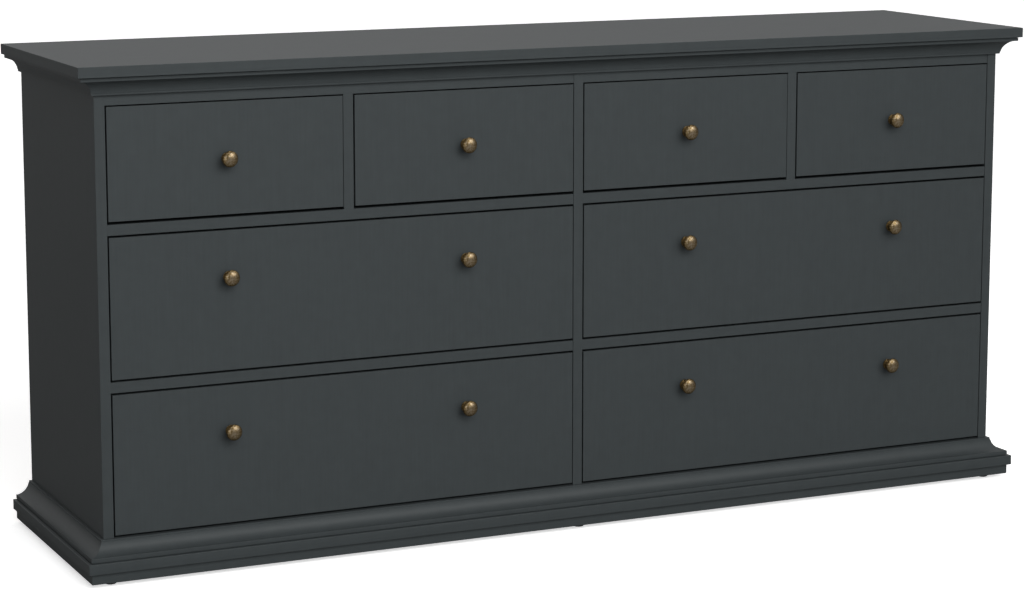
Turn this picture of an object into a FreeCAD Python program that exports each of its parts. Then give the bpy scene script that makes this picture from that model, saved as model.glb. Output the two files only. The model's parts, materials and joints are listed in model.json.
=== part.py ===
import FreeCAD, Part

import os

import Sketcher

# A double dresser with eight inset drawers: four small ones over four wide ones, on a stepped plinth and
# under an overhanging top, with a cove moulding at each.
#
# Frame, in millimetres: +X to the right as seen from the front, +Y to the back, +Z up. The origin is on
# the floor, under the centre of the top board. The drawers open along -Y.

document = FreeCAD.newDocument("Dresser")
sheet = document.addObject("Spreadsheet::Sheet", "Size")
sub_parts = []


# ---------------------------------------------------------------- lengths

class Length:
    """A length with its value and the formula that gives it from the cells of the sheet."""

    def __init__(self, value, formula):
        self.value = value
        self.formula = formula

    def __add__(self, other):
        other = as_length(other)
        return Length(self.value + other.value, f"({self.formula} + {other.formula})")

    def __sub__(self, other):
        other = as_length(other)
        return Length(self.value - other.value, f"({self.formula} - {other.formula})")

    def __mul__(self, factor):
        return Length(self.value * factor, f"({self.formula} * ({factor}))")

    def __truediv__(self, divisor):
        return Length(self.value / divisor, f"({self.formula} / {divisor})")

    def __neg__(self):
        return self * -1


def as_length(number):
    """The same length, or a plain number made into one."""
    if isinstance(number, Length):
        return number
    return Length(number, f"({number})")


def cell(alias, value):
    """Write a driving dimension to the next row of the sheet."""
    row = cell.next_row
    cell.next_row = row + 1
    sheet.set(f"A{row}", alias)
    sheet.set(f"B{row}", str(value))
    sheet.setAlias(f"B{row}", alias)
    return Length(value, f"{sheet.Name}.{alias}")


cell.next_row = 1
ZERO = as_length(0)

# Overall
overall_width = cell("overall_width", 1827.0)
overall_depth = cell("overall_depth", 482.0)
overall_height = cell("overall_height", 866.0)
board = cell("board", 18.0)
overhang = cell("overhang", 35.5)
rail_setback = cell("rail_setback", 1.0)

# Levels
glide_height = cell("glide_height", 7.0)
moulding_height = cell("moulding_height", 32.0)
low_opening = cell("low_opening", 245.4)
top_opening = cell("top_opening", 196.8)

# Plinth, band and mouldings, as distances outwards from the carcass
plinth_projection = cell("plinth_projection", 29.5)
base_strip_width = cell("base_strip_width", 60.0)
moulding_projection = cell("moulding_projection", 29.5)
base_step = cell("base_step", 8.5)
cornice_step = cell("cornice_step", 7.0)
moulding_quirk = cell("moulding_quirk", 0.8)
moulding_lip = cell("moulding_lip", 5.5)
moulding_lip_height = cell("moulding_lip_height", 3.5)
cove_radius = cell("cove_radius", 26.2)

# Back
back_thickness = cell("back_thickness", 3.0)
rebate_depth = cell("rebate_depth", 5.0)
rebate_width = cell("rebate_width", 9.0)

# Rails and fittings
rail_width = cell("rail_width", 90.0)
glide_diameter = cell("glide_diameter", 20.0)
glide_side_inset = cell("glide_side_inset", 38.5)
glide_inset = cell("glide_inset", 25.0)
cam_diameter = cell("cam_diameter", 15.0)
cam_depth = cell("cam_depth", 12.5)
cam_clearance = cell("cam_clearance", 0.1)
cam_from_end = cell("cam_from_end", 34.0)

# Drawer fronts
front_thickness = cell("front_thickness", 18.0)
front_gap_left = cell("front_gap_left", 2.9)
front_gap_right = cell("front_gap_right", 0.9)
low_front_height = cell("low_front_height", 237.8)
low_front_lift = cell("low_front_lift", 3.8)
top_front_height = cell("top_front_height", 189.4)
top_front_lift = cell("top_front_lift", 5.0)
low_knob_drop = cell("low_knob_drop", 78.6)

# Drawer boxes
runner_space = cell("runner_space", 12.5)
box_length = cell("box_length", 400.0)
box_side = cell("box_side", 12.0)
box_lift = cell("box_lift", 12.0)
low_box_height = cell("low_box_height", 178.0)
top_box_height = cell("top_box_height", 130.0)
bottom_thickness = cell("bottom_thickness", 3.0)
groove_height = cell("groove_height", 3.2)
groove_depth = cell("groove_depth", 6.2)
groove_lift = cell("groove_lift", 8.0)
groove_clearance = cell("groove_clearance", 0.2)

# Runners, in a section across the gap between the carcass and the drawer box
steel = cell("steel", 1.2)
channel_width = cell("channel_width", 9.0)
channel_low = cell("channel_low", -1.0)
channel_height = cell("channel_height", 27.0)
flange_from_wall = cell("flange_from_wall", 3.0)
flange_top = cell("flange_top", 20.0)
flange_lip = cell("flange_lip", 5.0)
glide_length = cell("glide_length", 20.0)
glide_width = cell("glide_width", 6.0)
glide_clearance = cell("glide_clearance", 0.3)
glide_shoulder = cell("glide_shoulder", 14.5)
stop_from_front = cell("stop_from_front", 72.0)
stop_length = cell("stop_length", 7.5)
stop_height = cell("stop_height", 6.0)

# Knob, as radii and as distances out from the drawer front
knob_flange_radius = cell("knob_flange_radius", 9.8)
knob_flange_height = cell("knob_flange_height", 2.2)
knob_neck_radius = cell("knob_neck_radius", 5.2)
knob_neck_low = cell("knob_neck_low", 3.8)
knob_neck_high = cell("knob_neck_high", 9.6)
knob_head_radius = cell("knob_head_radius", 13.8)
knob_head_low = cell("knob_head_low", 16.0)
knob_head_high = cell("knob_head_high", 18.6)
knob_dome_edge = cell("knob_dome_edge", 12.4)
knob_dome_low = cell("knob_dome_low", 19.8)
knob_height = cell("knob_height", 25.0)
knob_dome_radius = cell("knob_dome_radius", 17.4)

# Planes of the carcass
carcass_side = overall_width / 2 - overhang
inner_side = carcass_side - board
back_plane = overall_depth / 2
front_plane = overhang - back_plane
rail_plane = front_plane + rail_setback
board_back = back_plane - rebate_depth
board_depth = board_back - rail_plane

# Levels of the carcass, from the floor up
plinth_low = glide_height
band_low = plinth_low + board
band_top = band_low + board
floor_low = band_top + moulding_height - board
floor_top = floor_low + board
mid_rail_low = floor_top + low_opening
mid_rail_top = mid_rail_low + board
shelf_low = mid_rail_top + low_opening
shelf_top = shelf_low + board
top_rail_low = shelf_top + top_opening
carcass_top = overall_height - board

# Widths of the openings
bay_width = inner_side - board / 2
small_width = (bay_width - board) / 2
BAY_LOWS = {"left": -inner_side, "right": board / 2}

# The rows of cams that hold the panels, clear of the rails
panel_cam_rows = (rail_plane + rail_width * 1.5, board_back - rail_width * 1.5)


# ---------------------------------------------------------------- building blocks

def place(item, x, y, z):
    """Bind an object's position to three lengths."""
    item.setExpression("Placement.Base.x", x.formula)
    item.setExpression("Placement.Base.y", y.formula)
    item.setExpression("Placement.Base.z", z.formula)


def turn(item, degrees):
    """Turn an object about the vertical through its own origin."""
    item.Placement.Rotation = FreeCAD.Rotation(FreeCAD.Vector(0, 0, 1), degrees)


def block(name, low, size):
    """A rectangular board from its lowest corner and its size."""
    box = document.addObject("Part::Box", name)
    for side, length in zip(("Length", "Width", "Height"), size):
        box.setExpression(side, length.formula)
    place(box, *low)
    return box


def span(name, low, high):
    """A rectangular board from its lowest and highest corners."""
    return block(name, low, [end - start for start, end in zip(low, high)])


def group(name, members):
    """Separate solids kept together in one object."""
    compound = document.addObject("Part::Compound", name)
    compound.Links = members
    return compound


def cut(name, base, tools):
    """The base with every tool taken out of it."""
    result = document.addObject("Part::Cut", name)
    result.Base = base
    result.Tool = tools[0] if len(tools) == 1 else group(f"{name}_tools", tools)
    return result


def finish(item, label):
    """Name a sub-part and list it for the checks and the files."""
    item.Label = label
    sub_parts.append(item)
    return item


def new_sketch(body, role):
    """A sketch on one of the body's own origin planes."""
    sketch = body.newObject("Sketcher::SketchObject", f"{body.Name}_sketch")
    plane = next(item for item in body.Origin.OriginFeatures if item.Role == role)
    sketch.AttachmentSupport = [(plane, "")]
    sketch.MapMode = "FlatFace"
    return sketch


def arc_through(start, end, radius, side):
    """An arc of the given radius that bows to the left (side 1) or the right (side -1) of its chord.

    It always turns anticlockwise, as the arcs of a sketch do.
    """
    chord = end - start
    half = chord.Length / 2
    sagitta = radius - (radius ** 2 - half ** 2) ** 0.5
    normal = FreeCAD.Vector(-chord.y, chord.x, 0).normalize()
    middle = (start + end) * 0.5 + normal * (side * sagitta)
    if side > 0:
        return Part.Arc(end, middle, start)
    return Part.Arc(start, middle, end)


def bound(sketch, kind, ends, length, name):
    """Add a dimension to the sketch and bind it to the sheet."""
    index = sketch.addConstraint(Sketcher.Constraint(kind, *ends, length.value))
    sketch.renameConstraint(index, name)
    sketch.setExpression(f"Constraints.{name}", length.formula)


def outline(sketch, points, arcs=None):
    """Draw a closed outline through the points, each a pair of lengths from the sketch's origin.

    arcs gives the radius and the side of each edge that is an arc, by the index of its first point.
    """
    arcs = arcs or {}
    first = sketch.GeometryCount
    count = len(points)
    corners = [FreeCAD.Vector(across.value, up.value, 0) for across, up in points]
    ends = []
    for index, start in enumerate(corners):
        end = corners[(index + 1) % count]
        if index in arcs:
            radius, side = arcs[index]
            sketch.addGeometry(arc_through(start, end, radius.value, side))
            bound(sketch, "Radius", (first + index,), radius, f"radius_{first + index}")
        else:
            sketch.addGeometry(Part.LineSegment(start, end))
        forward = sketch.Geometry[first + index].StartPoint.isEqual(start, 0.001)
        ends.append((1, 2) if forward else (2, 1))
    for index, (across, up) in enumerate(points):
        edge = first + index
        following = (index + 1) % count
        sketch.addConstraint(
            Sketcher.Constraint("Coincident", edge, ends[index][1], first + following, ends[following][0]))
        bound(sketch, "DistanceX", (-1, 1, edge, ends[index][0]), across, f"across_{edge}")
        bound(sketch, "DistanceY", (-1, 1, edge, ends[index][0]), up, f"up_{edge}")


def pad(body, sketch, length):
    """Pad a sketch along its plane's normal."""
    feature = body.newObject("PartDesign::Pad", f"{body.Name}_pad")
    feature.Profile = sketch
    feature.setExpression("Length", length.formula)
    return feature


def bar(name, section, x, y_back, z, length):
    """A straight bar of one section, given as (across, up) points, that runs to the front from y_back."""
    body = document.addObject("PartDesign::Body", name)
    sketch = new_sketch(body, "XZ_Plane")
    outline(sketch, section)
    pad(body, sketch, length)
    place(body, x, y_back, z)
    return body


def strip(name, section, arcs, reach, run, mitres):
    """A strip along +X whose section faces -Y, mitred at the ends where it meets another strip.

    section holds (outward, up) points, reach is how far the section goes behind and in front of the
    carcass, run is the length of the carcass face that it covers, and mitres says which ends are mitred.
    """
    behind, outward = reach
    mitred_start, mitred_end = mitres
    start = outward if mitred_start else ZERO
    length = start + run + (outward if mitred_end else ZERO)
    body = document.addObject("PartDesign::Body", name)
    profile = new_sketch(body, "YZ_Plane")
    outline(profile, [(-out, up) for out, up in section], arcs)
    pad(body, profile, length)
    waste = new_sketch(body, "XY_Plane")
    if mitred_start:
        outline(waste, [(ZERO, -outward), (outward + behind, behind), (ZERO, behind)])
    if mitred_end:
        outline(waste, [(length, -outward), (length, behind), (length - outward - behind, behind)])
    mitre = body.newObject("PartDesign::Pocket", f"{name}_mitre")
    mitre.Profile = waste
    mitre.Type = "ThroughAll"
    mitre.Reversed = True
    return body


def wrap(name, z, section, arcs, reach):
    """The front, left and right strips of one course, mitred round the front corners of the carcass."""
    side_run = back_plane - front_plane
    front = strip(f"{name}_front", section, arcs, reach, carcass_side * 2, (True, True))
    place(front, -carcass_side - reach[1], front_plane, z)
    left = strip(f"{name}_left", section, arcs, reach, side_run, (False, True))
    turn(left, -90)
    place(left, -carcass_side, back_plane, z)
    right = strip(f"{name}_right", section, arcs, reach, side_run, (True, False))
    turn(right, 90)
    place(right, carcass_side, front_plane - reach[1], z)
    return front, left, right


# ---------------------------------------------------------------- cam fittings

cams = []


def cam_bores(holes):
    """Add a cam for each hole, given as its mouth's centre and the direction into the board.

    The bores that hold the cams are returned, to be cut from the board.
    """
    bores = []
    owners = {"cam": cams, "bore": bores}
    for centre, inward in holes:
        shapes = {"cam": cam_diameter / 2, "bore": cam_diameter / 2 + cam_clearance}
        for kind, radius in shapes.items():
            cylinder = document.addObject("Part::Cylinder", kind)
            cylinder.setExpression("Radius", radius.formula)
            cylinder.setExpression("Height", cam_depth.formula)
            cylinder.Placement.Rotation = FreeCAD.Rotation(FreeCAD.Vector(0, 0, 1), FreeCAD.Vector(*inward))
            place(cylinder, *centre)
            owners[kind].append(cylinder)
    return bores


UP = (0, 0, 1)
LEFT = (-1, 0, 0)
RIGHT = (1, 0, 0)


def end_cams(low_x, high_x, rows, z):
    """Holes in the underside of a board, near both its ends."""
    columns = (low_x + cam_from_end, high_x - cam_from_end)
    return [((x, y, z), UP) for x in columns for y in rows]


# ---------------------------------------------------------------- carcass

def build_top_board():
    """One slab that overhangs at the front and at both sides and is flush at the back."""
    low = (-overall_width / 2, -back_plane, carcass_top)
    high = (overall_width / 2, back_plane, overall_height)
    finish(span("top_board", low, high), "top_board")


def build_side_panels():
    """The two outer panels, rebated for the back and bored for the cams that hold the top board."""
    for name, hand, outward in (("left", -1, LEFT), ("right", 1, RIGHT)):
        inner = inner_side * hand
        outer = carcass_side * hand
        low_x, high_x = (outer, inner) if hand < 0 else (inner, outer)
        panel = span(f"{name}_panel", (low_x, front_plane, band_top), (high_x, back_plane, carcass_top))
        rebate_low = inner - rebate_width if hand < 0 else inner
        rebate = block(
            f"{name}_rebate",
            (rebate_low, board_back, band_top),
            (rebate_width, rebate_depth, carcass_top - band_top))
        bores = cam_bores([((inner, y, carcass_top - cam_from_end), outward) for y in panel_cam_rows])
        finish(cut(f"{name}_side", panel, [rebate] + bores), f"side_panel_{name}")


def build_centre_panel():
    """The upright between the two bays, from the bottom board to the top board."""
    low = (-board / 2, front_plane, floor_top)
    high = (board / 2, board_back, carcass_top)
    heights = (floor_top + cam_from_end, carcass_top - cam_from_end)
    bores = cam_bores([((-board / 2, y, z), RIGHT) for y in panel_cam_rows for z in heights])
    finish(cut("centre", span("centre_blank", low, high), bores), "centre_panel")


def build_dividers():
    """A short upright in each bay between the small drawers."""
    for name, low_x in BAY_LOWS.items():
        x = low_x + small_width
        low = (x, rail_plane, shelf_top)
        high = (x + board, board_back, top_rail_low)
        finish(span(f"{name}_divider", low, high), f"divider_{name}")


def build_bay_boards():
    """The shelf, the middle rail and the two top rails of each bay, held by cams in their undersides."""
    shelves = []
    mid_rails = []
    top_rails = []
    rail_row = rail_plane + rail_width / 2
    rear_row = board_back - rail_width / 2
    for name, low_x in BAY_LOWS.items():
        high_x = low_x + bay_width
        shelf = block(
            f"{name}_shelf_blank", (low_x, rail_plane, shelf_low), (bay_width, board_depth, board))
        bores = cam_bores(end_cams(low_x, high_x, (rail_row, rear_row), shelf_low))
        shelves.append(cut(f"{name}_shelf", shelf, bores))
        rail = block(f"{name}_mid_blank", (low_x, rail_plane, mid_rail_low), (bay_width, rail_width, board))
        bores = cam_bores(end_cams(low_x, high_x, (rail_row,), mid_rail_low))
        mid_rails.append(cut(f"{name}_mid", rail, bores))
        for place_name, y in (("front", rail_plane), ("rear", board_back - rail_width)):
            blank = block(
                f"{name}_{place_name}_blank", (low_x, y, top_rail_low), (bay_width, rail_width, board))
            bores = cam_bores(end_cams(low_x, high_x, (y + rail_width / 2,), top_rail_low))
            top_rails.append(cut(f"{name}_{place_name}", blank, bores))
    finish(group("shelf_boards", shelves), "shelves")
    finish(group("mid_rail_boards", mid_rails), "mid_rails")
    finish(group("top_rail_boards", top_rails), "top_rails")


def build_bottom_board():
    """The board under the bottom drawers, full width between the side panels."""
    low = (-inner_side, front_plane, floor_low)
    high = (inner_side, board_back, floor_top)
    bores = cam_bores(end_cams(-inner_side, inner_side, panel_cam_rows, floor_low))
    finish(cut("bottom", span("bottom_blank", low, high), bores), "bottom_board")


def build_back_panels():
    """A hardboard sheet behind each bay, down to the base; the two meet on the centre panel."""
    reach = inner_side + rebate_width
    sheets = []
    for name, low_x in (("left", -reach), ("right", ZERO)):
        low = (low_x, board_back, band_top)
        sheets.append(block(f"{name}_back", low, (reach, back_thickness, carcass_top - band_top)))
    finish(group("backs", sheets), "back_panels")


# ---------------------------------------------------------------- base and cornice

def rectangle(reach, height):
    """The section of a flat strip."""
    behind, outward = reach
    return [(-behind, ZERO), (outward, ZERO), (outward, height), (-behind, height)]


def cove_section(step, upwards):
    """The moulding's section: a step, a cove and a thin lip. It stands on its step, or hangs from it."""
    cove_foot = moulding_projection - moulding_quirk
    lip_low = moulding_height - moulding_lip_height
    cove_head = moulding_lip + moulding_quirk
    section = [
        (ZERO, ZERO),
        (moulding_projection, ZERO),
        (moulding_projection, step),
        (cove_foot, step),
        (cove_head, lip_low),
        (moulding_lip, lip_low),
        (moulding_lip, moulding_height),
        (ZERO, moulding_height),
    ]
    if upwards:
        return section
    return [(out, moulding_height - up) for out, up in section]


COVE_EDGE = 3


def build_base():
    """The plinth, the band that stands out over it, and the cove moulding on the band."""
    plinth_reach = (base_strip_width - plinth_projection, plinth_projection)
    band_reach = (base_strip_width - plinth_projection, overhang)
    courses = (("plinth", plinth_low, plinth_reach), ("band", band_low, band_reach))
    for name, z, reach in courses:
        strips = list(wrap(name, z, rectangle(reach, board), None, reach))
        inner = carcass_side - reach[0]
        rear_low = (-inner, back_plane - base_strip_width, z)
        strips.append(block(f"{name}_rear", rear_low, (inner * 2, base_strip_width, board)))
        label = "plinth_boards" if name == "plinth" else "base_band"
        finish(group(f"{name}_strips", strips), label)
    cove = {COVE_EDGE: (cove_radius, -1)}
    section = cove_section(base_step, True)
    strips = wrap("base_cove", band_top, section, cove, (ZERO, moulding_projection))
    finish(group("base_coves", list(strips)), "base_moulding")


def build_cornice():
    """The same kind of moulding upside down under the top board, with a lower step."""
    cove = {COVE_EDGE: (cove_radius, 1)}
    section = cove_section(cornice_step, False)
    z = carcass_top - moulding_height
    front, left, right = wrap("cornice", z, section, cove, (ZERO, moulding_projection))
    finish(front, "cornice_front")
    finish(group("cornice_returns", [left, right]), "cornice_sides")


def build_floor_glides():
    """Six round glides under the plinth, three along the front and three along the back."""
    side = carcass_side + plinth_projection - glide_side_inset
    front = front_plane - plinth_projection + glide_inset
    rear = back_plane - glide_inset
    glides = []
    for x in (-side, ZERO, side):
        for y in (front, rear):
            glide = document.addObject("Part::Cylinder", "floor_glide")
            glide.setExpression("Radius", (glide_diameter / 2).formula)
            glide.setExpression("Height", glide_height.formula)
            place(glide, x, y, ZERO)
            glides.append(glide)
    finish(group("glides", glides), "floor_glides")


# ---------------------------------------------------------------- drawers

class Row:
    """What the drawers of one row share."""

    def __init__(self, floor, front_height, front_lift, box_height, knob_drop):
        self.front_low = floor + front_lift
        self.front_height = front_height
        self.box_low = self.front_low + box_lift
        self.box_height = box_height
        self.knob_z = self.front_low + front_height - knob_drop


top_row = Row(shelf_top, top_front_height, top_front_lift, top_box_height, top_front_height / 2)
middle_row = Row(mid_rail_top, low_front_height, low_front_lift, low_box_height, low_knob_drop)
bottom_row = Row(floor_top, low_front_height, low_front_lift, low_box_height, low_knob_drop)

box_front = rail_plane + front_thickness
box_back = box_front + box_length
groove_step = groove_depth - groove_clearance

cabinet_channels = []
cabinet_glides = []


def build_front(name, low_x, width, row):
    """The inset front, grooved inside for the drawer bottom."""
    x = low_x + front_gap_left
    front = block(
        f"{name}_blank",
        (x, rail_plane, row.front_low),
        (width - front_gap_left - front_gap_right, front_thickness, row.front_height))
    inner = runner_space + box_side
    groove = block(
        f"{name}_front_groove",
        (low_x + inner - groove_depth, box_front - groove_depth, row.box_low + groove_lift),
        (width - (inner - groove_depth) * 2, groove_depth, groove_height))
    finish(cut(f"{name}_grooved", front, [groove]), f"{name}_front")


def build_box(name, low_x, width, row):
    """Two grooved sides, a back that stands on the bottom, and the hardboard bottom itself."""
    groove_low = row.box_low + groove_lift
    outer = low_x + runner_space
    outer_width = width - runner_space * 2
    sides = []
    columns = (
        ("left", outer, outer + box_side - groove_depth),
        ("right", outer + outer_width - box_side, outer + outer_width - box_side),
    )
    for hand, side_x, groove_x in columns:
        side = block(
            f"{name}_{hand}", (side_x, box_front, row.box_low), (box_side, box_length, row.box_height))
        groove = block(
            f"{name}_{hand}_groove",
            (groove_x, box_front, groove_low),
            (groove_depth, box_length, groove_height))
        sides.append(cut(f"{name}_{hand}_side", side, [groove]))
    inner_width = outer_width - box_side * 2
    back_lift = groove_lift + bottom_thickness
    back = block(
        f"{name}_back",
        (outer + box_side, box_back - box_side, row.box_low + back_lift),
        (inner_width, box_side, row.box_height - back_lift))
    finish(group(f"{name}_walls", sides + [back]), f"{name}_box")
    bottom = block(
        f"{name}_sheet",
        (outer + box_side - groove_step, box_front - groove_step, groove_low),
        (inner_width + groove_step * 2, box_length + groove_step, bottom_thickness))
    finish(bottom, f"{name}_bottom")


def knob_section():
    """Half of the knob's section, as (radius, distance out): flange, neck, head and dome."""
    points = [
        (ZERO, ZERO),
        (knob_flange_radius, ZERO),
        (knob_flange_radius, knob_flange_height),
        (knob_neck_radius, knob_neck_low),
        (knob_neck_radius, knob_neck_high),
        (knob_head_radius, knob_head_low),
        (knob_head_radius, knob_head_high),
        (knob_dome_edge, knob_dome_low),
        (ZERO, knob_height),
    ]
    dome_edge = 7
    return points, {dome_edge: (knob_dome_radius, -1)}


def build_knobs(name, columns, row):
    """One turned knob for each column."""
    points, arcs = knob_section()
    knobs = []
    for x in columns:
        body = document.addObject("PartDesign::Body", f"{name}_turning")
        sketch = new_sketch(body, "XY_Plane")
        flipped = {edge: (radius, -side) for edge, (radius, side) in arcs.items()}
        outline(sketch, [(radius, -out) for radius, out in points], flipped)
        revolution = body.newObject("PartDesign::Revolution", f"{name}_revolution")
        revolution.Profile = sketch
        revolution.ReferenceAxis = (sketch, ["V_Axis"])
        revolution.Angle = 360
        place(body, x, rail_plane, row.knob_z)
        knobs.append(body)
    if len(knobs) == 1:
        finish(knobs[0], f"{name}_knob")
    else:
        finish(group(f"{name}_turnings", knobs), f"{name}_knobs")


def channel_section():
    """The cabinet member: a steel channel, open towards the drawer, as (from the wall, up) points."""
    top = channel_low + channel_height
    return [
        (ZERO, channel_low),
        (channel_width, channel_low),
        (channel_width, channel_low + steel),
        (steel, channel_low + steel),
        (steel, top - steel),
        (channel_width, top - steel),
        (channel_width, top),
        (ZERO, top),
    ]


def rail_section():
    """The drawer member: it wraps the box side's lower edge and reaches into the channel."""
    web = runner_space - steel
    under = runner_space + box_side
    return [
        (under, -steel),
        (web, -steel),
        (web, flange_top - steel),
        (flange_from_wall + steel, flange_top - steel),
        (flange_from_wall + steel, flange_top - flange_lip),
        (flange_from_wall, flange_top - flange_lip),
        (flange_from_wall, flange_top),
        (runner_space, flange_top),
        (runner_space, ZERO),
        (under, ZERO),
    ]


def glide_section():
    """The fixed nylon glide at the mouth of the channel: the drawer member's flange slides on it."""
    foot = channel_low + steel
    head = flange_top - steel - glide_clearance
    inner = flange_from_wall + steel + glide_clearance
    return [
        (steel, foot),
        (inner + glide_width, foot),
        (inner + glide_width, head),
        (inner, head),
        (inner, glide_shoulder),
        (steel, glide_shoulder),
    ]


def heel_section():
    """The nylon glide at the rear of the drawer member, which slides inside the channel."""
    foot = channel_low + steel + glide_clearance
    head = flange_top - steel
    web = runner_space - steel
    return [(web - glide_width, foot), (web, foot), (web, head), (web - glide_width, head)]


def stop_section():
    """The stop on the channel's floor that the heel meets when the drawer is fully open."""
    foot = channel_low + steel
    return [(steel, foot), (channel_width, foot), (channel_width, stop_height), (steel, stop_height)]


def build_runners(name, low_x, width, row):
    """A channel, glide and stop on each side of the opening, and a rail and heel on the drawer."""
    moving = []
    stop_back = box_front + stop_from_front + stop_length
    for hand, wall, inward in (("left", low_x, 1), ("right", low_x + width, -1)):
        base = f"{name}_{hand}"
        pieces = (
            ("channel", channel_section(), box_back, box_length, cabinet_channels),
            ("stop", stop_section(), stop_back, stop_length, cabinet_channels),
            ("glide", glide_section(), box_front + glide_length, glide_length, cabinet_glides),
            ("rail", rail_section(), box_back, box_length, moving),
            ("heel", heel_section(), box_back, glide_length, moving),
        )
        for kind, section, y_back, length, owner in pieces:
            faced = [(across * inward, up) for across, up in section]
            owner.append(bar(f"{base}_{kind}", faced, wall, y_back, row.box_low, length))
    finish(group(f"{name}_rails", moving), f"{name}_runners")


def build_drawer(name, low_x, width, row, knob_columns):
    """One drawer with its knobs and runners."""
    build_front(name, low_x, width, row)
    build_box(name, low_x, width, row)
    build_knobs(name, knob_columns, row)
    build_runners(name, low_x, width, row)


def build_drawers():
    """Four small drawers in the top row, and two rows of two wide ones whose knobs line up with them."""
    number = 0
    for side, bay_low in BAY_LOWS.items():
        small_lows = (bay_low, bay_low + small_width + board)
        columns = [low + small_width / 2 for low in small_lows]
        for low_x, column in zip(small_lows, columns):
            number += 1
            build_drawer(f"top_{number}", low_x, small_width, top_row, [column])
        build_drawer(f"middle_{side}", bay_low, bay_width, middle_row, columns)
        build_drawer(f"bottom_{side}", bay_low, bay_width, bottom_row, columns)
    finish(group("channels", cabinet_channels), "cabinet_runners")
    finish(group("channel_glides", cabinet_glides), "runner_glides")


# ---------------------------------------------------------------- checks and files

def check_document():
    """Stop if any object failed or any sub-part has no valid shape."""
    for item in document.Objects:
        if "Invalid" in item.State or "Error" in item.State:
            raise RuntimeError(f"{item.Name} failed: {item.State}")
    for item in sub_parts:
        if item.Shape.isNull() or not item.Shape.isValid():
            raise RuntimeError(f"{item.Label} has no valid shape")


def write_files():
    """Write each sub-part to its own file."""
    os.makedirs("parts", exist_ok=True)
    for item in sub_parts:
        item.Shape.exportStep(f"parts/{item.Label}.step")
        print(f"{item.Label}: {len(item.Shape.Solids)} solids, {item.Shape.Volume / 1000:.1f} cm3")


build_top_board()
build_side_panels()
build_centre_panel()
build_dividers()
build_bay_boards()
build_bottom_board()
build_back_panels()
build_base()
build_cornice()
build_floor_glides()
build_drawers()
finish(group("cam_fittings", cams), "cam_fittings")
document.recompute()
check_document()
write_files()
print(f"{len(sub_parts)} sub-parts")
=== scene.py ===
"""Dresser with eight drawers: the detailed look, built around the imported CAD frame.

Everything is in metres in the CAD's own frame: X to the right, Y to the back, Z up. Sections and
small sizes are written in millimetres and scaled by MM where they are used.
"""
import json
import math

import bmesh
import bpy
from mathutils import Euler, Matrix, Vector

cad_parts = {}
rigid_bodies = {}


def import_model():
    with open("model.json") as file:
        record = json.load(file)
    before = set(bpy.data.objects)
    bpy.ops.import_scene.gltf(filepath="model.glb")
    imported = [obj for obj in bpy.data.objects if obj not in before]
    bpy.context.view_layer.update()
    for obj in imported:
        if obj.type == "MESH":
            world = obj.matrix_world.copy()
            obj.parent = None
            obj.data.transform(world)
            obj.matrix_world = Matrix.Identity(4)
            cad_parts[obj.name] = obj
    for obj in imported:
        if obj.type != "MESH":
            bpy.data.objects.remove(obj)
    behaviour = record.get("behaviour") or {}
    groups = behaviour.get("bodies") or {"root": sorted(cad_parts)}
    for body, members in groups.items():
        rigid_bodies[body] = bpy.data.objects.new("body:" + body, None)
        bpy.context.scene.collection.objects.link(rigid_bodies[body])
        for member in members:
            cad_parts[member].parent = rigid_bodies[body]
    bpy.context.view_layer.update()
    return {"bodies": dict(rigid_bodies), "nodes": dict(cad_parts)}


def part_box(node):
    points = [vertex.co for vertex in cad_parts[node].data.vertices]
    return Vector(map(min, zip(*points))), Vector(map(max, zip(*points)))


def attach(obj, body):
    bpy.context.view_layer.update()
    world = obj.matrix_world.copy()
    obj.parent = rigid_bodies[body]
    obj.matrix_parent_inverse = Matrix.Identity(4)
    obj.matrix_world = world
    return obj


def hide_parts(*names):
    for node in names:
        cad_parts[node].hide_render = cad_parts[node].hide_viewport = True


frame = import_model()

MM = 0.001
SHARP_ANGLE = math.radians(35)
BEVEL_ANGLE = math.radians(40)
WELD_DISTANCE = 1e-6
FLAT_ANGLE = math.radians(1)
CARCASS = "carcass"
DRAWERS = [body.removeprefix("drawer_") for body in frame["bodies"] if body.startswith("drawer_")]


# ---------------------------------------------------------------- node trees

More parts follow.
